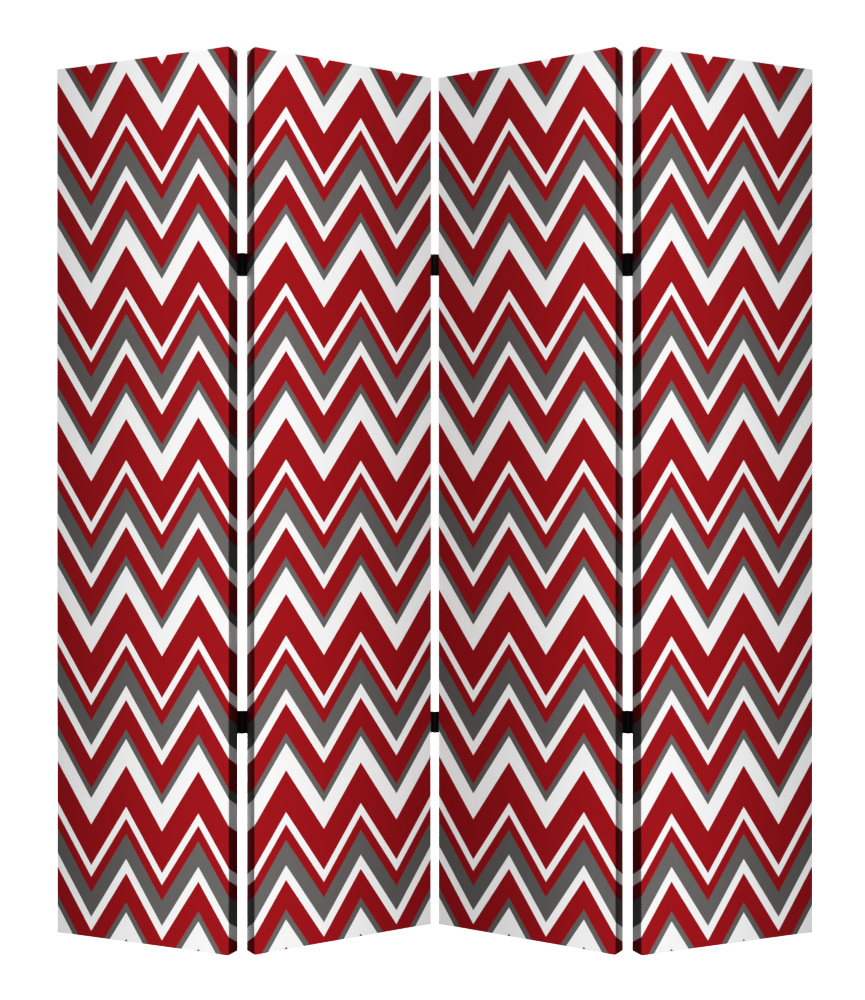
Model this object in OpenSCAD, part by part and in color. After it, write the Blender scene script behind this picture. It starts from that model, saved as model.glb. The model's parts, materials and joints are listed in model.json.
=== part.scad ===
// Folding screen of four stretched-canvas panels.
// Each panel is a pine frame with a canvas wrapped over its front and edges and a
// hemmed canvas over its back. The hinges' leaves are let into the frames under the
// canvas, and their pins lie on the rear face at the two outer seams and on the front
// face at the middle seam, so that the four panels fold flat into one stack.
// The screen stands on z = 0, facing -Y, at the centre of its footprint.

/* [Panel] */
// Height of a panel
panel_h = 1828.8; // [1200:0.1:2200]
// Width of a panel
panel_w = 419.1; // [300:0.1:600]
// Thickness of a panel, canvas included
panel_t = 38; // [26:0.1:44]

/* [Fold] */
// Angle of the two inner panels from the line of the screen, degrees
inner_angle = 32; // [10:0.5:60]
// Angle of the two outer panels from the line of the screen, degrees
outer_angle = 23; // [10:0.5:60]
// Gap left between two panels folded flat together
fold_gap = 1; // [0.6:0.1:1.6]

/* [Canvas] */
// Thickness of the canvas
canvas_t = 0.8; // [0.5:0.05:0.9]
// Width of the front canvas's return on the back of the frame
return_w = 28; // [26:0.5:34]
// Distance of the back canvas from the panel's edge
back_inset = 2; // [1:0.5:4]
// Width of the back canvas's folded hem
hem_w = 15; // [10:0.5:16]

/* [Frame] */
// Width of a stile
stile_w = 38; // [34:0.5:60]
// Height of the top and bottom rails
rail_h = 38; // [34:0.5:60]
// Distance of a cross rail's edge inside the end of the hinge beside it
cross_inset = 3; // [0:0.5:6]
// Thickness of a cross rail, which stays clear of both canvases
cross_t = 16; // [12:0.5:18]
// Length of a tenon
tenon_l = 18; // [10:0.5:22]
// Thickness of a tenon
tenon_t = 8; // [6:0.5:9]
// Shoulder above and below a tenon
tenon_shoulder = 6; // [4:0.5:9]
// Glue space past the end of a tenon
glue_gap = 1; // [0.5:0.1:1.5]

/* [Staples] */
// Width of a staple's crown
staple_w = 10; // [6:0.5:14]
// Width of the staple wire
staple_wire_w = 1.2; // [0.8:0.1:1.6]
// Thickness of the staple wire
staple_wire_t = 0.6; // [0.4:0.05:0.7]
// Length of a staple's legs
staple_leg = 9; // [5:0.5:12]
// Distance of the row of staples from the panel's edge
staple_inset = 23; // [21:0.5:25]
// Greatest distance between two staples
staple_pitch = 150; // [80:5:300]
// Distance of a row's first staple from the panel's corner
staple_corner = 70; // [50:5:100]

/* [Hinges] */
// Height of the upper hinge's middle above the floor at the two outer seams
upper_hinge_z = 1394; // [1100:1:1700]
// Height of the lower hinge's middle above the floor at the two outer seams
lower_hinge_z = 465; // [200:1:700]
// Height of the upper hinge's middle above the floor at the middle seam
mid_upper_hinge_z = 1424; // [1100:1:1700]
// Height of the lower hinge's middle above the floor at the middle seam
mid_lower_hinge_z = 436; // [200:1:700]
// Height of a hinge
hinge_h = 46; // [40:0.5:80]
// Distance of a hinge's pin from the panels' end faces
pin_offset = 9; // [7:0.1:14]
// Length of the leaf that is let into the frame
leaf_l = 20; // [17:0.5:21]
// Thickness of a leaf
leaf_t = 1.6; // [1.2:0.1:2]
// Radius of the leaf's corners
leaf_corner_r = 2; // [1:0.1:3]
// Radius of a knuckle
knuckle_r = 4.8; // [4.6:0.1:6]
// Height of the middle knuckle of a hinge
middle_knuckle_h = 16; // [10:0.5:24]
// Space between a turning knuckle and what it passes
knuckle_gap = 0.3; // [0.2:0.05:1]
// Radius of a pin
pin_r = 1.8; // [1.2:0.05:2.2]
// Running clearance round a pin in the middle knuckle
pin_clearance = 0.05; // [0.02:0.01:0.1]
// Radius of a pin's head
pin_head_r = 3.4; // [2.6:0.1:4]
// Height of a pin's head
pin_head_h = 1.2; // [0.8:0.1:2]

/* [Hinge screws] */
// Radius of a screw's shank
screw_r = 1.5; // [1.2:0.1:1.8]
// Length of a screw with its head
screw_l = 14; // [10:0.5:18]
// Length of a screw's point
screw_point_l = 3; // [2:0.5:5]
// Radius of a screw's countersunk head
screw_head_r = 3; // [2.6:0.1:3.4]
// Distance of the screws from the panel's end face
screw_inset = 11; // [7:0.5:14]
// Distance of the outer screws from the ends of the leaf
screw_end = 8; // [6:0.5:12]

/* [Hidden] */
$fn = 48;
eps = 0.5; // how far a cutting shape runs past the face that it cuts
recess_w = 0.7; // width of each slot of the cross recess in a screw head
recess_l = 3; // length of each slot of the cross recess
recess_d = 0.6; // depth of the cross recess
point_end_r = 0.3; // radius of the blunt end of a screw's point

panels = [1, 2, 3, 4];
seams = [12, 23, 34]; // a seam is named after the two panels that it joins

// Layers through a panel, from its front face at -y to its back face at +y
front_y = -panel_t / 2;
back_y = panel_t / 2;
frame_front_y = front_y + canvas_t;
frame_back_y = back_y - 3 * canvas_t;
return_back_y = back_y - 2 * canvas_t;
hem_back_y = back_y - canvas_t;
frame_t = frame_back_y - frame_front_y;
frame_mid_y = (frame_front_y + frame_back_y) / 2;

// The frame inside the canvas
frame_w = panel_w - 2 * canvas_t;
rail_w = frame_w - 2 * stile_w;
cross_h = hinge_h - 2 * cross_inset; // a cross rail stiffens the frame beside a hinge
mid_rail_z = (upper_hinge_z + lower_hinge_z) / 2;
end_rail_zs = [canvas_t + rail_h / 2, panel_h - canvas_t - rail_h / 2];
cross_rail_zs = [lower_hinge_z, mid_rail_z, upper_hinge_z];

// Rows of staples, evenly spaced between the two corners of an edge
function spread(reach, pitch) =
    let (count = max(2, ceil(2 * reach / pitch) + 1))
    [for (i = [0:count - 1]) -reach + 2 * reach * i / (count - 1)];
staple_zs = [for (z = spread(panel_h / 2 - staple_corner, staple_pitch)) panel_h / 2 + z];
staple_xs = spread(panel_w / 2 - staple_corner, staple_pitch);

// The hinge, whose pin lies half the folded gap outside the faces that close
pin_reach = panel_w / 2 + pin_offset;
pin_proud = fold_gap / 2;
pin_y = panel_t / 2 + pin_proud;
outer_hinge_zs = [["lower", lower_hinge_z], ["upper", upper_hinge_z]];
middle_hinge_zs = [["lower", mid_lower_hinge_z], ["upper", mid_upper_hinge_z]];
screw_zs = [-hinge_h / 2 + screw_end, 0, hinge_h / 2 - screw_end];

// Plan of the open screen, worked out from the middle seam to the right and mirrored
function along(angle) = [cos(angle), sin(angle)];
function across(angle) = [-sin(angle), cos(angle)];
function mirrored(p) = [-p.x, p.y];
panel_angles = [-outer_angle, inner_angle, -inner_angle, outer_angle];
inner_mid = pin_reach * along(-inner_angle) + pin_y * across(-inner_angle);
outer_seam = inner_mid + pin_reach * along(-inner_angle) + pin_y * across(-inner_angle);
outer_mid = outer_seam + pin_reach * along(outer_angle) - pin_y * across(outer_angle);
panel_mids = [mirrored(outer_mid), mirrored(inner_mid), inner_mid, outer_mid];
seam_pins = [mirrored(outer_seam), [0, 0], outer_seam];
corner_ys = [for (i = [0:3]) for (sx = [-1, 1]) for (sy = [-1, 1])
    (panel_mids[i] + sx * panel_w / 2 * along(panel_angles[i])
        + sy * panel_t / 2 * across(panel_angles[i])).y];
plan_y = -(min(corner_ys) + max(corner_ys)) / 2;

function has_hinge(panel, side) = side == "left" ? panel > 1 : panel < 4;
function seam_at(panel, side) = seams[side == "left" ? panel - 2 : panel - 1];
function closes_front(seam) = seam == 23;
function hinge_zs(seam) = closes_front(seam) ? middle_hinge_zs : outer_hinge_zs;
function cover(seam) = closes_front(seam) ? canvas_t : 3 * canvas_t; // canvas over a leaf
function panel_name(panel, piece) = str("panel_", panel, "_", piece);
function hinge_name(seam, piece) = str("hinge_", seam, "_", piece);
function left_panel(seam) = floor(seam / 10);

// Puts a panel's own frame, x along its width and z up, where the panel stands
module at_panel(panel) {
    i = panel - 1;
    translate([panel_mids[i].x, panel_mids[i].y + plan_y, 0])
        rotate([0, 0, panel_angles[i]])
            children();
}

// Puts an edge's frame, x outward from the end face, at the panel's left or right edge
module at_edge(side) {
    rotate([0, 0, side == "left" ? 180 : 0])
        translate([panel_w / 2, 0, 0])
            children();
}

// Puts a hinge's frame, x outward from the end face and y outward from the face that
// closes, at the given height on one edge of a panel
module at_leaf(panel, side, height) {
    closes_at_y = (side == "left") == closes_front(seam_at(panel, side));
    at_edge(side)
        translate([0, 0, height])
            rotate([closes_at_y ? 0 : 180, 0, 0])
                translate([0, panel_t / 2, 0])
                    children();
}

// A box given by its lowest and highest corners
module block(low, high) {
    translate(low)
        cube(high - low);
}

// Places each screw of a leaf, its axis along +z out of the leaf's outer face
module at_leaf_screws(seam) {
    for (z = screw_zs)
        translate([-screw_inset, -cover(seam), z])
            rotate([-90, 0, 0])
                children();
}

// The part of a screw below its head
module screw_shank() {
    translate([0, 0, -screw_l + screw_point_l])
        cylinder(r = screw_r, h = screw_l - screw_point_l - leaf_t);
    translate([0, 0, -screw_l])
        cylinder(r1 = point_end_r, r2 = screw_r, h = screw_point_l);
}

module screw() {
    screw_shank();
    difference() {
        translate([0, 0, -leaf_t])
            cylinder(r1 = screw_r, r2 = screw_head_r, h = leaf_t);
        for (turn = [0, 90])
            rotate([0, 0, turn])
                translate([-recess_l / 2, -recess_w / 2, -recess_d])
                    cube([recess_l, recess_w, recess_d + eps]);
    }
}

// The countersunk hole that a screw takes in a leaf
module countersink() {
    slope = (screw_head_r - screw_r) / leaf_t;
    translate([0, 0, -leaf_t])
        cylinder(r1 = screw_r, r2 = screw_head_r + slope * eps, h = leaf_t + eps);
    translate([0, 0, -leaf_t - eps])
        cylinder(r = screw_r, h = 2 * eps);
}

module hinge_screws(panel) {
    color("#1b1b1b")
        for (side = ["left", "right"])
            if (has_hinge(panel, side))
                for (h = hinge_zs(seam_at(panel, side)))
                    at_leaf(panel, side, h[1])
                        at_leaf_screws(seam_at(panel, side))
                            screw();
}

// A staple at the origin of its row: crown along z, legs towards -y
module staple() {
    translate([-staple_wire_w / 2, return_back_y, -staple_w / 2])
        cube([staple_wire_w, staple_wire_t, staple_w]);
    staple_legs();
}

module staple_legs() {
    for (end = [-1, 1])
        translate([-staple_wire_w / 2, return_back_y - staple_leg,
                end * (staple_w - staple_wire_w) / 2 - staple_wire_w / 2])
            cube([staple_wire_w, staple_leg, staple_wire_w]);
}

module at_stile_staples(side) {
    row_x = panel_w / 2 - staple_inset;
    for (z = staple_zs)
        translate([side == "left" ? -row_x : row_x, 0, z])
            children();
}

module at_rail_staples(end) {
    row_z = end == "top" ? panel_h - staple_inset : staple_inset;
    for (x = staple_xs)
        translate([x, 0, row_z])
            rotate([0, 90, 0])
                children();
}

module at_all_staples() {
    for (side = ["left", "right"])
        at_stile_staples(side)
            children();
    for (end = ["top", "bottom"])
        at_rail_staples(end)
            children();
}

module staples() {
    color("silver")
        at_all_staples()
            staple();
}

// A tenon of the given rail height, its root at x = 0, towards +x
module tenon(height, length) {
    block([0, frame_mid_y - tenon_t / 2, -height / 2 + tenon_shoulder],
        [length, frame_mid_y + tenon_t / 2, height / 2 - tenon_shoulder]);
}

// A rail between the stiles with a tenon at each end, its middle at z = 0
module rail(height, thickness) {
    block([-rail_w / 2, frame_mid_y - thickness / 2, -height / 2],
        [rail_w / 2, frame_mid_y + thickness / 2, height / 2]);
    for (side = [0, 180])
        rotate([0, 0, side])
            translate([rail_w / 2, side == 0 ? 0 : -2 * frame_mid_y, 0])
                tenon(height, tenon_l);
}

module end_rail(end) {
    color("burlywood")
        difference() {
            translate([0, 0, end_rail_zs[end == "top" ? 1 : 0]])
                rail(rail_h, frame_t);
            at_rail_staples(end)
                staple_legs();
        }
}

// A staple beside a cross rail is driven into its tenon
module cross_rails() {
    color("burlywood")
        difference() {
            for (z = cross_rail_zs)
                translate([0, 0, z])
                    rail(cross_h, cross_t);
            for (side = ["left", "right"])
                at_stile_staples(side)
                    staple_legs();
        }
}

// The mortises of one stile, cut from its inner edge
module mortises(side) {
    depth = tenon_l + glue_gap;
    heights = concat([for (z = end_rail_zs) [z, rail_h]], [for (z = cross_rail_zs) [z, cross_h]]);
    for (m = heights)
        translate([side == "left" ? -rail_w / 2 - depth : rail_w / 2, 0, m[0]])
            tenon(m[1], depth);
}

// What the leaves at one edge take from the stile: a rebate each and the screws' holes
module leaf_seats(panel, side) {
    if (has_hinge(panel, side)) {
        seam = seam_at(panel, side);
        for (h = hinge_zs(seam))
            at_leaf(panel, side, h[1]) {
                leaf_plate(seam, eps);
                at_leaf_screws(seam)
                    screw_shank();
            }
    }
}

// The slits in the canvas that the leaves at one edge pass through
module leaf_slits(panel, side) {
    if (has_hinge(panel, side))
        for (h = hinge_zs(seam_at(panel, side)))
            at_leaf(panel, side, h[1])
                leaf_plate(seam_at(panel, side), 0);
}

module stile(panel, side) {
    left_x = side == "left" ? -frame_w / 2 : frame_w / 2 - stile_w;
    color("burlywood")
        difference() {
            block([left_x, frame_front_y, canvas_t],
                [left_x + stile_w, frame_back_y, panel_h - canvas_t]);
            mortises(side);
            leaf_seats(panel, side);
            at_stile_staples(side)
                staple_legs();
        }
}

// The front canvas: the front sheet, the wrapped edges and the return on the back
module front_canvas(panel) {
    window_half_w = frame_w / 2 - return_w;
    color("firebrick")
        difference() {
            block([-panel_w / 2, front_y, 0], [panel_w / 2, return_back_y, panel_h]);
            block([-frame_w / 2, frame_front_y, canvas_t],
                [frame_w / 2, frame_back_y, panel_h - canvas_t]);
            block([-window_half_w, frame_mid_y, canvas_t + return_w],
                [window_half_w, return_back_y + eps, panel_h - canvas_t - return_w]);
            leaf_slits(panel, "left");
            leaf_slits(panel, "right");
            at_all_staples()
                staple_legs();
        }
}

// The back canvas: one sheet with its edges folded under as a hem
module back_canvas() {
    half_w = panel_w / 2 - back_inset;
    color("whitesmoke")
        difference() {
            block([-half_w, return_back_y, back_inset], [half_w, back_y, panel_h - back_inset]);
            block([-half_w + hem_w, return_back_y - eps, back_inset + hem_w],
                [half_w - hem_w, hem_back_y, panel_h - back_inset - hem_w]);
        }
}

// A leaf's plate from its let-in end to the pin, raised by the given height for cutting
module leaf_plate(seam, raise) {
    half_h = hinge_h / 2;
    translate([0, -cover(seam) + raise, 0])
        rotate([90, 0, 0])
            linear_extrude(leaf_t + raise) {
                translate([-leaf_l + leaf_corner_r, -half_h])
                    square([leaf_l - leaf_corner_r + pin_offset, hinge_h]);
                translate([-leaf_l, -half_h + leaf_corner_r])
                    square([2 * leaf_corner_r, hinge_h - 2 * leaf_corner_r]);
                for (end = [-1, 1])
                    translate([-leaf_l + leaf_corner_r, end * (half_h - leaf_corner_r)])
                        circle(leaf_corner_r);
            }
}

// A cylinder about the pin, in a hinge's frame, between two heights
module about_pin(radius, low, high) {
    translate([pin_offset, pin_proud, low])
        cylinder(r = radius, h = high - low);
}

// The left leaf of a hinge, with the two end knuckles, which the pin is pressed into
// with its head flush at the top. This leaf's frame is upside down at the middle seam.
module end_leaf(seam) {
    slot_h = middle_knuckle_h / 2 + knuckle_gap;
    head_low = closes_front(seam) ? -hinge_h / 2 - eps : hinge_h / 2 - pin_head_h;
    difference() {
        union() {
            leaf_plate(seam, 0);
            about_pin(knuckle_r, -hinge_h / 2, hinge_h / 2);
        }
        about_pin(knuckle_r + knuckle_gap, -slot_h, slot_h);
        about_pin(pin_r, -hinge_h / 2 - eps, hinge_h / 2 + eps);
        about_pin(pin_head_r, head_low, head_low + pin_head_h + eps);
        at_leaf_screws(seam)
            countersink();
    }
}

// The right leaf of a hinge, with the middle knuckle, which turns on the pin
module middle_leaf(seam) {
    difference() {
        union() {
            difference() {
                leaf_plate(seam, 0);
                about_pin(knuckle_r + knuckle_gap, middle_knuckle_h / 2, hinge_h / 2 + eps);
                about_pin(knuckle_r + knuckle_gap, -hinge_h / 2 - eps, -middle_knuckle_h / 2);
            }
            about_pin(knuckle_r, -middle_knuckle_h / 2, middle_knuckle_h / 2);
        }
        about_pin(pin_r + pin_clearance, -middle_knuckle_h / 2 - eps, middle_knuckle_h / 2 + eps);
        at_leaf_screws(seam)
            countersink();
    }
}

module left_leaf(seam, height) {
    color("#161616")
        at_leaf(left_panel(seam), "right", height)
            end_leaf(seam);
}

module right_leaf(seam, height) {
    color("#161616")
        at_leaf(left_panel(seam) + 1, "left", height)
            middle_leaf(seam);
}

// The two pins of a seam, each under its own head
module pins(seam) {
    pin = seam_pins[left_panel(seam) - 1];
    color("#2b2b2b")
        for (h = hinge_zs(seam))
            translate([pin.x, pin.y + plan_y, h[1] - hinge_h / 2]) {
                cylinder(r = pin_r, h = hinge_h);
                translate([0, 0, hinge_h - pin_head_h])
                    cylinder(r = pin_head_r, h = pin_head_h);
            }
}

for (p = panels) {
    at_panel(p) stile(p, "left");
    at_panel(p) stile(p, "right");
    at_panel(p) end_rail("top");
    at_panel(p) end_rail("bottom");
    at_panel(p) cross_rails();
    at_panel(p) staples();
    at_panel(p) front_canvas(p);
    at_panel(p) back_canvas();
    at_panel(p) hinge_screws(p);
}
for (s = seams)
    for (h = hinge_zs(s)) {
        at_panel(left_panel(s)) left_leaf(s, h[1]);
        at_panel(left_panel(s) + 1) right_leaf(s, h[1]);
    }
for (s = seams)
    pins(s);
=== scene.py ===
"""Looks of a folding screen: four printed canvases stretched over pine frames and hinged edge to edge.

The front canvas of a panel wraps round its frame to the back, and a hemmed canvas covers the back. Both
are modelled here, and the frames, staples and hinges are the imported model's own pieces with new finishes.
Lengths are in metres."""

import json
import math

import bpy
from mathutils import Matrix, Vector, noise


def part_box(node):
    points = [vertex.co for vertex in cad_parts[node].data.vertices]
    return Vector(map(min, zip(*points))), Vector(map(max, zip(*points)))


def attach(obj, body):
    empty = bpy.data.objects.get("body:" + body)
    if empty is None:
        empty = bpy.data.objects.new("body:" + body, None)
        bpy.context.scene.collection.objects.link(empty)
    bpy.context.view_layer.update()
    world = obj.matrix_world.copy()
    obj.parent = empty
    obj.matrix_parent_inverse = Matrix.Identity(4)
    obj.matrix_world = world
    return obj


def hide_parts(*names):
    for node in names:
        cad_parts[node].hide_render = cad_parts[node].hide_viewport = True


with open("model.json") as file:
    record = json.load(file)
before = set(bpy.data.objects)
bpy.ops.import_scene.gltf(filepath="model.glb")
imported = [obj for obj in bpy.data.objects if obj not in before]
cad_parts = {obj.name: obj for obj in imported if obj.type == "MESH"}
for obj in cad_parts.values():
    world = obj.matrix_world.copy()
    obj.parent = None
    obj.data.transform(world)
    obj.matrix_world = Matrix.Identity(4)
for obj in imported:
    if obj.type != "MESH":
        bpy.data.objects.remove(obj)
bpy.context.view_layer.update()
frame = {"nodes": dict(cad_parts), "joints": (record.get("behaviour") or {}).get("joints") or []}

MM = 0.001
UP = Vector((0, 0, 1))
NUMBERS = (1, 2, 3, 4)
SEAMS = ("12", "23", "34")

# Canvas
EDGE_R = 1.5 * MM  # radius of the wrapped edges
RETURN_W = 28.8 * MM  # width of the front canvas's return, from the panel's edge
HEM_W = 15 * MM  # width of the back canvas's hem
FRAME_W = 38 * MM  # width of the stiles and rails that the canvas lies on
GRID = 16 * MM  # greatest distance between two grid lines
DEPTH_GRID = 6 * MM  # the same across a panel's edge faces
ROUND_STEPS = (45, 30, 15, 0)  # degrees at which grid lines lie round an edge
SIDE_LINES_MM = (9, 12, 16, 20, 24)  # distances of some grid lines from a panel's sides
END_LINES_MM = (3.6, 12, 20)  # the same from its top and bottom
DEPTH_LINE = 3.6 * MM  # distance of one from its front and back
FRONT_SLACK = 0.5 * MM  # how far the canvas is drawn in over the open frame
BACK_SLACK = 0.35 * MM
SLACK_REACH = 60 * MM  # distance over which it is drawn in
RIPPLE = 0.25 * MM  # height of the canvas's slow unevenness
RIPPLE_LENGTH = 190 * MM

# Flap that the front canvas is folded into at a panel's corners, on its top and bottom faces
FOLD_STEP = 0.5 * MM  # how far the flap stands above the cloth beside it
FOLD_START = 2.6 * MM  # distance of its edge from the panel's side, at the front
FOLD_LEAN = 0.12  # how fast its edge leans away from the side, towards the back
FOLD_EDGE = 0.7 * MM  # width of the step along its edge
FOLD_REACH = 22 * MM  # distance from the side at which it starts to fade out
FOLD_FADE = 9 * MM  # distance over which it fades out
FOLD_LINES = 7  # grid lines across the part where its edge leans

# Hem of the back canvas
HEM_ROUND = 0.999  # radius of its edge, as a share of half its thickness
HEM_STEP = 0.8 * MM  # distance over which its second layer ends
HEM_FLAT = 2 * MM  # distance from its edge within which the cloth stays as it is
HEM_LINES_MM = (3, 6, 9, 13.5)  # distances of grid lines from the canvas's edge, in the hem
INNER_LINES_MM = (20, 26, 34)  # the same inside the hem
STITCH_LINES_MM = (-1, -0.5, 0, 0.5, 1)  # distances of grid lines from the line of stitches

# Stitches along the hem, in a groove that they pull into the cloth
STITCH_INSET = 11 * MM  # distance from the canvas's edge
STITCH_PITCH = 4.6 * MM
STITCH_L = 3.7 * MM
STITCH_W = 0.55 * MM
STITCH_H = 0.36 * MM
STITCH_GROOVE = 0.22 * MM
STITCH_GROOVE_W = 1.1 * MM  # half the groove's width
STITCH_SINK = 0.6  # how deep a stitch lies in its groove, as a share of the groove's depth
STITCH_RINGS = ((-0.3, 0.85), (0, 1), (0.3, 0.85))  # place along a stitch, and girth
STITCH_SIDES = 6

# Chevron print, measured from a panel's far edge and from its top
PEAK_PITCH = 174.2 * MM
FIRST_PEAK = 0 * MM
CHEVRON_RISE = 129.4 * MM
TOP_OFFSET = 25.5 * MM  # how much of the first stripe shows below the panel's top at a peak
END_SHARE = 0.37  # length of print on a panel's end face, as a share of the face's depth
WHITE, RED, GREY = "white", "red", "grey"
STRIPES_MM = (  # ink and height of each stripe in one repeat, from the top
    (WHITE, 28.5), (RED, 85.7), (WHITE, 24.5), (RED, 32.2), (GREY, 52),
    (WHITE, 29), (RED, 60.9), (GREY, 20.6), (WHITE, 25.9),
)
INKS = {
    WHITE: (0.80, 0.80, 0.80, 1),
    RED: (0.27, 0.0072, 0.0125, 1),
    GREY: (0.1345, 0.131, 0.1285, 1),
}
INK_EDGE = 0.5 * MM  # half the width of the soft edge between two inks
INK_BLEED = 0.5 * MM  # how far the ink's edge wanders
INK_GRAIN = (380, 380, 1)  # scale of that, for each metre across and down the cloth
THREAD = 0.55 * MM  # distance between two threads of the weave
THREAD_GRAIN = 1500  # scale of the threads' unevenness across them
THREAD_LENGTH_GRAIN = 45  # and along them
WEAVE_DEPTH = 0.12 * MM

# Hinges
PART_EDGE_R = 0.2 * MM  # radius of the metal's edges
EDGE_ANGLE = 40  # least angle in degrees of an edge that is rounded
PAINT = 0.145 * MM  # thickness of the leaves' paint
BARE_R = 4 * MM  # distance from a pin's middle within which there is none

# Camera, floor and lights
CAMERA_PLACE = Vector((-0.0050, -3.1536, 0.9162))
LENS_MM = 54.18
SENSOR_MM = 36
FLOOR_HALF = 20.0  # half the floor's side
FLOOR_DROP = 0.2 * MM  # distance of the floor below the screen
FLOOR_TONE = 0.85  # share of the light that it gives back
FLOOR_GLOW = 0.95  # light of its own
AMBIENT = 0.18  # light from all round
STRIP_SIZE = (0.12, 4.0)
STRIPS = {  # distance from the panel's near edge, in metres, and power of each strip light
    1: [(0.51, 12.7)],
    2: [(0.51, 12.7)],
    3: [(0.2, 2.4), (1.5, 18.3)],
    4: [(0.51, 12.7)],
}
SOFT_BOXES = {  # place, point that it faces, size in metres, and power
    "behind": ((0, 3.2, 1.3), (0, 0, 0.9), (1.2, 2.4), 75),
    "above": ((0, 0, 4.2), (0, 0, 0), (2.4, 1.6), 60),
    "left": ((-3.2, 1.2, 1.3), (-0.5, 0, 0.9), (1.4, 2.2), 60),
    "right": ((3.2, 1.2, 1.3), (0.5, 0, 0.9), (1.4, 2.2), 60),
}
TONES = (  # the camera's response: light that comes in and light that shows
    (0, 0), (0.098, 0.074), (0.195, 0.202), (0.312, 0.361), (0.564, 0.672), (0.9, 0.93), (1, 1),
)


class Panel:
    """A panel and its own frame: x from its left edge, y from its front face and z from the floor.

    wrap is the panel's size as the front canvas wraps it, cloth is the thickness of the canvas, and
    back_low and back_size give the back canvas's low corner and its size."""

    def __init__(self, number):
        self.number = number
        self.body = f"panel_{number}"
        left, right = (middle(f"{self.body}_{side}_stile") for side in ("left", "right"))
        self.x_axis = (right - left).normalized()
        self.y_axis = UP.cross(self.x_axis)
        front_y, return_y = self.reach("front_canvas", self.y_axis)
        left_x, right_x = self.reach("front_canvas", self.x_axis)
        self.wrap = Vector((right_x - left_x, return_y - front_y, self.reach("front_canvas", UP)[1]))
        self.cloth = self.reach("left_stile", self.y_axis)[0] - front_y
        self.origin = self.x_axis * left_x + self.y_axis * front_y
        self.far_is_left = self.x_axis.y < 0
        back_reach = [self.reach("back_canvas", axis) for axis in (self.x_axis, self.y_axis, UP)]
        self.back_low = Vector((back_reach[0][0] - left_x, back_reach[1][0] - front_y, back_reach[2][0]))
        self.back_size = Vector([high - low for low, high in back_reach])

    def node(self, piece):
        return f"{self.body}_{piece}"

    def reach(self, piece, axis):
        """Least and greatest distance of a node's points along an axis."""
        along = [axis.dot(v.co) for v in frame["nodes"][self.node(piece)].data.vertices]
        return min(along), max(along)

    def matrix(self):
        """Takes a point in the panel's own frame to its place in the model."""
        turn = Matrix((self.x_axis, self.y_axis, UP)).transposed().to_4x4()
        return Matrix.Translation(self.origin) @ turn

    def near_edge(self):
        """The front corner of the panel that is nearest to the camera, half way up."""
        x = self.wrap.x if self.far_is_left else 0
        return self.matrix() @ Vector((x, 0, self.wrap.z / 2))

    def print_place(self, x, z):
        """Place on the print of a point x from the left edge and z from the floor, along the cloth."""
        return (x if self.far_is_left else self.wrap.x - x), self.wrap.z - z


def middle(node):
    low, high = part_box(node)
    return (low + high) / 2


def smooth(share):
    share = min(max(share, 0.0), 1.0)
    return share * share * (3 - 2 * share)


# Grid boxes

SIDES = {  # axis of a quad's first edge, axis of its second edge, fixed axis, whether at its high end
    "front": (0, 2, 1, False),
    "back": (2, 0, 1, True),
    "left": (2, 1, 0, False),
    "right": (1, 2, 0, True),
    "bottom": (1, 0, 2, False),
    "top": (0, 1, 2, True),
}


def grid_lines(length, radius, near, step=GRID):
    """Grid lines along one side: close together round both corners, then at the distances in near from
    each end, then even."""
    ends = [radius * (1 - math.tan(math.radians(a))) for a in ROUND_STEPS] + list(near)
    count = math.ceil((length - 2 * ends[-1]) / step)
    even = [ends[-1] + (length - 2 * ends[-1]) * i / count for i in range(1, count)]
    return ends + even + [length - e for e in reversed(ends)]


def grid_box(name, lines, shape, flat, keep=lambda side, at: True):
    """A box of quads. shape moves a grid point to its place, flat gives its place on the cloth for the UV
    map, and keep says which quads stay."""
    index, points, faces, uvs = {}, [], [], []
    for side, (first, second, fixed, high) in SIDES.items():
        for a in range(len(lines[first]) - 1):
            for b in range(len(lines[second]) - 1):
                place = [0, 0, 0]
                place[fixed] = len(lines[fixed]) - 1 if high else 0
                quad = []
                for step_a, step_b in ((0, 0), (1, 0), (1, 1), (0, 1)):
                    place[first], place[second] = a + step_a, b + step_b
                    quad.append(tuple(place))
                corners = [Vector([lines[axis][i] for axis, i in enumerate(q)]) for q in quad]
                if not keep(side, sum(corners, Vector()) / 4):
                    continue
                for q, corner in zip(quad, corners):
                    if q not in index:
                        index[q] = len(points)
                        points.append(shape(corner))
                    uvs.append(flat(side, corner))
                faces.append([index[q] for q in quad])
    return new_mesh(name, points, faces, uvs)


def new_mesh(name, points, faces, uvs=None):
    mesh = bpy.data.meshes.new(name)
    mesh.from_pydata(points, [], faces)
    if uvs:
        layer = mesh.uv_layers.new(name="cloth")
        layer.data.foreach_set("uv", [value for uv in uvs for value in uv])
    mesh.shade_smooth()
    obj = bpy.data.objects.new(name, mesh)
    bpy.context.scene.collection.objects.link(obj)
    return obj


def rounded(point, size, radius):
    """Moves a point on a box to the same box with round edges."""
    inner = Vector([min(max(c, radius), s - radius) for c, s in zip(point, size)])
    return inner + (point - inner).normalized() * radius


def openness(at, size, inset):
    """How far a point lies into the open middle of a panel: 0 over the frame and 1 well inside it."""
    from_side = min(at.x, size.x - at.x) - inset
    from_end = min(at.z, size.z - at.z) - inset
    return smooth(from_side / SLACK_REACH) * smooth(from_end / SLACK_REACH)


def unevenness(at, seed):
    """The slow unevenness of stretched cloth, from 0 to 1."""
    place = Vector((at.x / RIPPLE_LENGTH, at.z / RIPPLE_LENGTH, seed))
    return 0.5 + 0.5 * noise.noise(place)


# Front canvas

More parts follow.
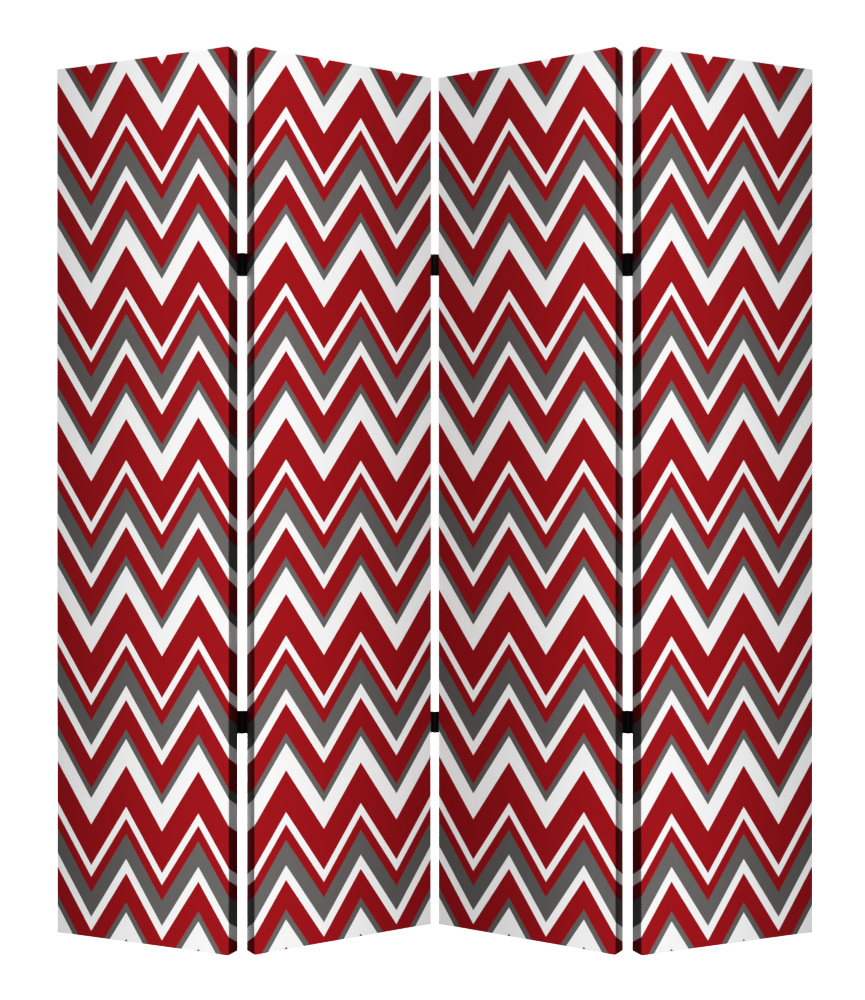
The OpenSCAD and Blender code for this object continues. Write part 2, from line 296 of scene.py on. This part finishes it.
def flap(at, size):
    """1 on the flap at each end of a panel's top or bottom face, and 0 beside it."""
    along = min(at.x, size.x - at.x)
    starts = smooth((along - FOLD_START - FOLD_LEAN * at.y) / FOLD_EDGE)
    ends = smooth((along - FOLD_REACH) / FOLD_FADE)
    return starts * (1 - ends)


def front_point(panel, at):
    """Place of a grid point of the front canvas in the panel's frame."""
    size = panel.wrap
    point = rounded(at, size, EDGE_R)
    from_end = min(at.z, size.z - at.z)
    step = FOLD_STEP * (1 - flap(at, size)) * (1 - smooth(from_end / (2 * EDGE_R)))
    point.z += step if at.z < size.z / 2 else -step
    if at.y == 0:
        slack = FRONT_SLACK + RIPPLE * unevenness(at, panel.number)
        point.y += slack * openness(at, size, FRAME_W)
    return point


def front_flat(panel, side, at):
    """Place on the print of a grid point of the front canvas. The print runs on round every edge, and is
    drawn in on the end faces, as the photograph shows."""
    size = panel.wrap
    end = END_SHARE * size.y
    x, z = at.x, at.z
    if side == "left":
        x = -END_SHARE * at.y
    elif side == "right":
        x = size.x + END_SHARE * at.y
    elif side == "bottom":
        z = -at.y
    elif side == "top":
        z = size.z + at.y
    elif side == "back":
        x = -end - at.x if at.x < size.x / 2 else 2 * size.x + end - at.x
    return panel.print_place(x, z)


def on_return(size, side, at):
    """Whether a quad is part of the cloth: the back has only the return round its edge."""
    inside = RETURN_W < at.x < size.x - RETURN_W and RETURN_W < at.z < size.z - RETURN_W
    return side != "back" or not inside


def front_canvas(panel, material):
    size = panel.wrap
    fold_lines = [FOLD_START + i * FOLD_EDGE for i in range(FOLD_LINES)]
    x_near = fold_lines + [d * MM for d in SIDE_LINES_MM] + [RETURN_W, FRAME_W]
    z_near = [d * MM for d in END_LINES_MM] + [RETURN_W, FRAME_W]
    lines = [grid_lines(size.x, EDGE_R, x_near), grid_lines(size.y, EDGE_R, [DEPTH_LINE], DEPTH_GRID),
             grid_lines(size.z, EDGE_R, z_near)]
    piece = grid_box(f"front_canvas_{panel.number}", lines, lambda at: front_point(panel, at),
                     lambda side, at: front_flat(panel, side, at), lambda side, at: on_return(size, side, at))
    thickness = piece.modifiers.new("thickness", "SOLIDIFY")
    thickness.thickness = panel.cloth
    thickness.offset = -1
    thickness.use_even_offset = True
    set_in_place(piece, panel, material, "front_canvas")
    [panel.node(rest) for rest in ("left_stile", "right_stile", "top_rail", "bottom_rail")]
    return piece


# Back canvas and its stitches

def back_point(panel, at):
    """Place of a grid point of the back canvas: 2 layers thick at the hem and 1 inside it."""
    size = panel.back_size
    point = rounded(at, size, size.y / 2 * HEM_ROUND)
    from_edge = min(at.x, size.x - at.x, at.z, size.z - at.z)
    slack = BACK_SLACK + RIPPLE * unevenness(at, -panel.number)
    sunk = slack * openness(at, size, HEM_W)
    if at.y == 0:
        point.y += panel.cloth * smooth((from_edge - HEM_W) / HEM_STEP)
    elif at.y == size.y:
        sunk += STITCH_GROOVE * (1 - smooth(abs(from_edge - STITCH_INSET) / STITCH_GROOVE_W))
    point.y -= sunk if from_edge > HEM_FLAT else 0
    return point + panel.back_low


def back_canvas(panel, material):
    size = panel.back_size
    hem = sorted([d * MM for d in HEM_LINES_MM] + [STITCH_INSET + d * MM for d in STITCH_LINES_MM])
    near = hem + [HEM_W, HEM_W + HEM_STEP] + [d * MM for d in INNER_LINES_MM]
    lines = [grid_lines(size.x, size.y / 2, near), grid_lines(size.y, size.y / 2 * HEM_ROUND, []),
             grid_lines(size.z, size.y / 2, near)]

    def flat(side, at):
        spot = at + panel.back_low
        return panel.print_place(spot.x, spot.z)

    piece = grid_box(f"back_canvas_{panel.number}", lines, lambda at: back_point(panel, at), flat)
    set_in_place(piece, panel, material, "back_canvas")
    return piece


def stitch(centre, along):
    """Points and faces of one stitch that lies on the back canvas, its middle at centre."""
    outward = Vector((0, 1, 0))
    across = outward.cross(along)
    points = [centre - along * STITCH_L / 2, centre + along * STITCH_L / 2]
    rings = [len(points) + STITCH_SIDES * ring for ring in range(len(STITCH_RINGS))]
    for share, girth in STITCH_RINGS:
        for corner in range(STITCH_SIDES):
            angle = math.radians(360 / STITCH_SIDES * corner)
            spoke = across * math.cos(angle) * STITCH_W / 2 + outward * math.sin(angle) * STITCH_H / 2
            points.append(centre + along * share * STITCH_L + spoke * girth)
    faces = []
    for i in range(STITCH_SIDES):
        j = (i + 1) % STITCH_SIDES
        faces.append((0, rings[0] + j, rings[0] + i))
        faces.append((1, rings[-1] + i, rings[-1] + j))
        for ring, next_ring in zip(rings, rings[1:]):
            faces.append((ring + i, ring + j, next_ring + j, next_ring + i))
    return points, faces


def stitches(panel, material):
    """The line of stitches round the hem of a back canvas."""
    low, size = panel.back_low, panel.back_size
    y = low.y + size.y - STITCH_SINK * STITCH_GROOVE
    first = Vector((low.x + STITCH_INSET, y, low.z + STITCH_INSET))
    last = Vector((low.x + size.x - STITCH_INSET, y, low.z + size.z - STITCH_INSET))
    rows = ((Vector((1, 0, 0)), (first.z, last.z), last.x - first.x),
            (Vector((0, 0, 1)), (first.x, last.x), last.z - first.z))
    points, faces = [], []
    for along, offsets, length in rows:
        count = round(length / STITCH_PITCH)
        for offset in offsets:
            start = Vector((first.x, y, offset)) if along.x else Vector((offset, y, first.z))
            for i in range(count):
                made, sides = stitch(start + along * length * (i + 0.5) / count, along)
                faces += [[len(points) + corner for corner in side] for side in sides]
                points += made
    piece = new_mesh(f"hem_stitches_{panel.number}", points, faces)
    set_in_place(piece, panel, material)
    return piece


def set_in_place(piece, panel, material, replaced=None):
    """Puts a piece made in a panel's frame where the panel is, and makes it move with the panel."""
    piece.data.transform(panel.matrix())
    piece.data.materials.append(material)
    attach(piece, panel.body)
    if replaced:
        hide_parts(panel.node(replaced))


# Materials

def add(tree, kind, inputs=None, **settings):
    """Adds a node and gives its inputs their values or links."""
    node = tree.nodes.new("ShaderNode" + kind)
    for name, value in settings.items():
        setattr(node, name, value)
    for key, value in (inputs or {}).items():
        if isinstance(value, bpy.types.NodeSocket):
            tree.links.new(value, node.inputs[key])
        else:
            node.inputs[key].default_value = value
    return node


def maths(tree, operation, *values):
    return add(tree, "Math", dict(enumerate(values)), operation=operation).outputs[0]


def spread(tree, share, low, high):
    """Takes a share from 0 to 1 to a value from low to high."""
    return maths(tree, "MULTIPLY_ADD", share, high - low, low)


def ramp(tree, factor, stops):
    """A colour ramp of (place, colour) stops."""
    node = add(tree, "ValToRGB", {"Fac": factor})
    elements = node.color_ramp.elements
    elements[0].position, elements[0].color = stops[0]
    elements[1].position, elements[1].color = stops[-1]
    for position, color in stops[1:-1]:
        elements.new(position).color = color
    return node.outputs["Color"]


def grain(tree, vector, scale, detail=2.0):
    """Noise with its own scale along each axis, from 0 to 1."""
    stretched = add(tree, "VectorMath", {0: vector, 1: scale}, operation="MULTIPLY").outputs[0]
    return add(tree, "TexNoise", {"Vector": stretched, "Scale": 1.0, "Detail": detail}).outputs["Fac"]


def finish_material(name, build, **sockets):
    """A material whose shader takes its constant values from sockets and the rest from build."""
    material = bpy.data.materials.new(name)
    material.use_nodes = True
    tree = material.node_tree
    tree.nodes.clear()
    constants = {key.replace("_", " "): value for key, value in sockets.items()}
    shader = add(tree, "BsdfPrincipled", constants)
    output = add(tree, "OutputMaterial")
    tree.links.new(shader.outputs[0], output.inputs["Surface"])
    for key, socket in build(tree).items():
        tree.links.new(socket, shader.inputs[key])
    return material


def bump(tree, height, strength, distance):
    inputs = {"Height": height, "Strength": strength, "Distance": distance}
    return add(tree, "Bump", inputs).outputs["Normal"]


def grey(value):
    return (value, value, value, 1)


def stripe_stops():
    """Stops of a ramp that holds one repeat of the stripes, with soft edges between the inks."""
    repeat = sum(width for _, width in STRIPES_MM)
    stops, at = [(0.0, INKS[STRIPES_MM[0][0]])], 0.0
    for (ink, width), (next_ink, _) in zip(STRIPES_MM, STRIPES_MM[1:]):
        at += width
        stops.append(((at - INK_EDGE / MM) / repeat, INKS[ink]))
        stops.append(((at + INK_EDGE / MM) / repeat, INKS[next_ink]))
    return stops + [(1.0, INKS[STRIPES_MM[-1][0]])]


def chevrons(tree, cloth, across, down):
    """Colour of the chevron print at a distance across and down the cloth."""
    phase = maths(tree, "DIVIDE", maths(tree, "SUBTRACT", across, FIRST_PEAK), PEAK_PITCH)
    fall = maths(tree, "MULTIPLY", maths(tree, "PINGPONG", phase, 0.5), 2 * CHEVRON_RISE)
    wander = spread(tree, grain(tree, cloth, INK_GRAIN), -INK_BLEED / 2, INK_BLEED / 2)
    drop = maths(tree, "ADD", maths(tree, "SUBTRACT", down, fall), wander)
    repeat = sum(width for _, width in STRIPES_MM) * MM
    start = STRIPES_MM[0][1] * MM - TOP_OFFSET
    share = maths(tree, "FRACT", maths(tree, "DIVIDE", maths(tree, "ADD", drop, start), repeat))
    return ramp(tree, share, stripe_stops())


def weave(tree, across, down):
    """Height of a plain weave, from 0 to 1."""
    waves = [maths(tree, "SINE", maths(tree, "MULTIPLY", way, math.pi / THREAD)) for way in (across, down)]
    return maths(tree, "MULTIPLY_ADD", maths(tree, "MULTIPLY", *waves), 0.5, 0.5)


def printed_canvas():
    """Matt canvas with the chevron print, woven in a plain weave with thicker threads here and there."""

    def build(tree):
        cloth = add(tree, "UVMap", uv_map="cloth").outputs[0]
        split = add(tree, "SeparateXYZ", {0: cloth})
        across, down = split.outputs[0], split.outputs[1]
        warp = grain(tree, cloth, (THREAD_GRAIN, THREAD_LENGTH_GRAIN, 1))
        weft = grain(tree, cloth, (THREAD_LENGTH_GRAIN, THREAD_GRAIN, 1))
        threads = maths(tree, "MULTIPLY", maths(tree, "ADD", warp, weft), 0.5)
        shade = ramp(tree, threads, [(0.3, grey(0.93)), (0.7, grey(1.0))])
        ink = chevrons(tree, cloth, across, down)
        colour = add(tree, "Mix", {"Factor": 1.0, "A": ink, "B": shade},
                     data_type="RGBA", blend_type="MULTIPLY")
        height = maths(tree, "MULTIPLY_ADD", threads, 1.2, weave(tree, across, down))
        return {"Base Color": colour.outputs[2], "Roughness": spread(tree, threads, 0.72, 0.88),
                "Normal": bump(tree, height, strength=0.5, distance=WEAVE_DEPTH)}

    return finish_material("printed_canvas", build, Specular_IOR_Level=0.08)


def thread():
    """Twisted off-white sewing thread."""

    def build(tree):
        place = add(tree, "TexCoord").outputs["Object"]
        twist = grain(tree, place, (900, 900, 2600))
        colour = ramp(tree, twist, [(0.3, (0.62, 0.60, 0.56, 1)), (0.7, (0.80, 0.78, 0.74, 1))])
        return {"Base Color": colour, "Normal": bump(tree, twist, strength=0.4, distance=0.1 * MM)}

    return finish_material("thread", build, Roughness=0.7, Specular_IOR_Level=0.3)


def black_paint(name, tone, least_roughness):
    """Black paint on metal, uneven in gloss and worn a little lighter along its edges."""

    def build(tree):
        place = add(tree, "TexCoord").outputs["Object"]
        speckle = grain(tree, place, (1400, 1400, 1400), detail=3.0)
        patches = grain(tree, place, (90, 90, 90))
        edge = add(tree, "NewGeometry").outputs["Pointiness"]
        worn = maths(tree, "ADD", edge, spread(tree, patches, -0.03, 0.03))
        colour = ramp(tree, worn, [(0.55, grey(tone)), (0.66, grey(3.5 * tone))])
        return {"Base Color": colour,
                "Roughness": spread(tree, patches, least_roughness, least_roughness + 0.2),
                "Normal": bump(tree, speckle, strength=0.25, distance=0.05 * MM)}

    return finish_material(name, build, Specular_IOR_Level=0.4)


def steel(name, tone, along):
    """Drawn steel with fine lines along one axis."""

    def build(tree):
        place = add(tree, "TexCoord").outputs["Object"]
        scale = tuple(60 if axis == along else 2200 for axis in "xyz")
        lines = grain(tree, place, scale, detail=3.0)
        colour = ramp(tree, lines, [(0.3, grey(0.85 * tone)), (0.7, grey(tone))])
        return {"Base Color": colour, "Roughness": spread(tree, lines, 0.28, 0.43),
                "Normal": bump(tree, lines, strength=0.2, distance=0.03 * MM)}

    return finish_material(name, build, Metallic=1.0)


def pine(name, along_z):
    """Planed pine with its grain along the stiles or along the rails."""

    def build(tree):
        place = add(tree, "TexCoord").outputs["Object"]
        stretch = (26, 26, 1.2) if along_z else (1.6, 1.6, 30)
        bend = add(tree, "VectorMath", {0: place, 1: stretch}, operation="MULTIPLY").outputs[0]
        rings = add(tree, "TexWave", {"Vector": bend, "Scale": 2.4, "Distortion": 3.2, "Detail": 2.0},
                    wave_type="RINGS", rings_direction="Z" if along_z else "X").outputs["Fac"]
        fibre = grain(tree, place, (1200, 1200, 30) if along_z else (40, 40, 1200), detail=3.0)
        mixed = maths(tree, "MULTIPLY_ADD", fibre, 0.35, maths(tree, "MULTIPLY", rings, 0.65))
        colour = ramp(tree, mixed, [(0.2, (0.69, 0.50, 0.29, 1)), (0.6, (0.62, 0.41, 0.21, 1)),
                                    (0.9, (0.47, 0.27, 0.12, 1))])
        return {"Base Color": colour, "Roughness": spread(tree, fibre, 0.55, 0.75),
                "Normal": bump(tree, fibre, strength=0.3, distance=0.08 * MM)}

    return finish_material(name, build, Specular_IOR_Level=0.35)


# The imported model's own pieces

def dress(node, material):
    mesh = frame["nodes"][node].data
    mesh.materials.clear()
    mesh.materials.append(material)


def paint(obj, seam):
    """Thickens a hinge leaf by its coat of paint, except in the holes for the pin and its head."""
    pin = next(Vector(joint["pos_m"]) for joint in frame["joints"] if joint["name"] == f"seam_{seam}")
    painted = obj.vertex_groups.new(name="painted")
    painted.add([v.index for v in obj.data.vertices if (v.co - pin).xy.length > BARE_R], 1.0, "REPLACE")
    coat = obj.modifiers.new("paint", "DISPLACE")
    coat.vertex_group = painted.name
    coat.strength = PAINT
    coat.mid_level = 0


def soften(node, width, painted_at=None):
    """Rounds the edges of a metal piece, over its paint if it is a leaf of the seam given."""
    obj = frame["nodes"][node]
    weld = obj.modifiers.new("weld", "WELD")
    weld.merge_threshold = 0.01 * MM
    if painted_at:
        paint(obj, painted_at)
    bevel = obj.modifiers.new("edges", "BEVEL")
    bevel.width = width
    bevel.segments = 2
    bevel.limit_method = "ANGLE"
    bevel.angle_limit = math.radians(EDGE_ANGLE)
    bevel.harden_normals = True


def dress_frames():
    stile_wood = pine("pine_stile", along_z=True)
    rail_wood = pine("pine_rail", along_z=False)
    staple_steel = steel("staple_steel", tone=0.72, along="x")
    for number in NUMBERS:
        for side in ("left", "right"):
            dress(f"panel_{number}_{side}_stile", stile_wood)
        for rail in ("top_rail", "bottom_rail", "cross_rails"):
            dress(f"panel_{number}_{rail}", rail_wood)
        dress(f"panel_{number}_staples", staple_steel)


def dress_hinges():
    leaf_paint = black_paint("hinge_black", tone=0.004, least_roughness=0.42)
    screw_paint = black_paint("screw_black", tone=0.006, least_roughness=0.34)
    pin_steel = steel("pin_steel", tone=0.09, along="z")
    for seam in SEAMS:
        for height in ("lower", "upper"):
            for part in ("left_leaf", "right_leaf"):
                node = f"hinge_{seam}_{height}_{part}"
                dress(node, leaf_paint)
                soften(node, PART_EDGE_R, painted_at=seam)
        dress(f"hinge_{seam}_pins", pin_steel)
        soften(f"hinge_{seam}_pins", PART_EDGE_R)
    for number in NUMBERS:
        dress(f"panel_{number}_hinge_screws", screw_paint)


# Camera, floor and lights

def floor():
    """A plain pale floor, bright enough to show as white."""
    signs = ((-1, -1), (1, -1), (1, 1), (-1, 1))
    corners = [(x * FLOOR_HALF, y * FLOOR_HALF, -FLOOR_DROP) for x, y in signs]
    ground = new_mesh("floor", corners, [(0, 1, 2, 3)])
    material = finish_material("floor", lambda tree: {}, Roughness=0.9, Base_Color=grey(FLOOR_TONE),
                               Emission_Color=grey(1.0), Emission_Strength=FLOOR_GLOW)
    ground.data.materials.append(material)
    ground.visible_diffuse = ground.visible_glossy = ground.visible_shadow = False


def camera():
    data = bpy.data.cameras.new("camera")
    data.lens, data.sensor_width = LENS_MM, SENSOR_MM
    obj = bpy.data.objects.new("camera", data)
    obj.location = CAMERA_PLACE
    obj.rotation_euler = (math.radians(90), 0, 0)
    bpy.context.scene.collection.objects.link(obj)
    bpy.context.scene.camera = obj


def camera_response():
    """Gives the picture the deeper middle tones of a product photograph."""
    view = bpy.context.scene.view_settings
    view.view_transform = "Standard"
    view.use_curve_mapping = True
    points = view.curve_mapping.curves[3].points
    points[0].location, points[1].location = TONES[0], TONES[-1]
    for tone in TONES[1:-1]:
        points.new(*tone)
    view.curve_mapping.update()


def area_light(name, at, towards, size, power):
    data = bpy.data.lights.new(name, "AREA")
    data.shape = "RECTANGLE"
    data.size, data.size_y = size
    data.energy = power
    obj = bpy.data.objects.new(name, data)
    obj.location = at
    obj.rotation_euler = (Vector(towards) - Vector(at)).to_track_quat("-Z", "Y").to_euler()
    obj.visible_camera = False
    bpy.context.scene.collection.objects.link(obj)
    return obj


def strip_lights(panel, canvases):
    """Tall lights square to a panel's near edge, so that the panel darkens evenly towards its far edge."""
    edge = panel.near_edge()
    lit = bpy.data.collections.new(f"lit_by_strips_{panel.number}")
    for canvas in canvases:
        lit.objects.link(canvas)
    for i, (gap, power) in enumerate(STRIPS[panel.number]):
        name = f"strip_{panel.number}_{i}"
        light = area_light(name, edge - panel.y_axis * gap, edge, STRIP_SIZE, power)
        light.light_linking.receiver_collection = lit


def studio():
    """Soft light from all round, and soft boxes behind, above and at both sides."""
    world = bpy.data.worlds.new("studio")
    bpy.context.scene.world = world
    world.use_nodes = True
    tree = world.node_tree
    tree.nodes.clear()
    seen = add(tree, "Background", {"Color": grey(1.0), "Strength": 1.0}).outputs[0]
    around = add(tree, "Background", {"Color": grey(1.0), "Strength": AMBIENT}).outputs[0]
    path = add(tree, "LightPath").outputs["Is Camera Ray"]
    mixed = add(tree, "MixShader", {0: path, 1: around, 2: seen}).outputs[0]
    tree.links.new(mixed, add(tree, "OutputWorld").inputs["Surface"])
    for name, (at, towards, size, power) in SOFT_BOXES.items():
        area_light(name, at, towards, size, power)


def screen():
    canvas, sewing = printed_canvas(), thread()
    for number in NUMBERS:
        panel = Panel(number)
        front = front_canvas(panel, canvas)
        back = back_canvas(panel, canvas)
        seam = stitches(panel, sewing)
        strip_lights(panel, [front, back])
    dress_frames()
    dress_hinges()


camera()
camera_response()
studio()
floor()
screen()
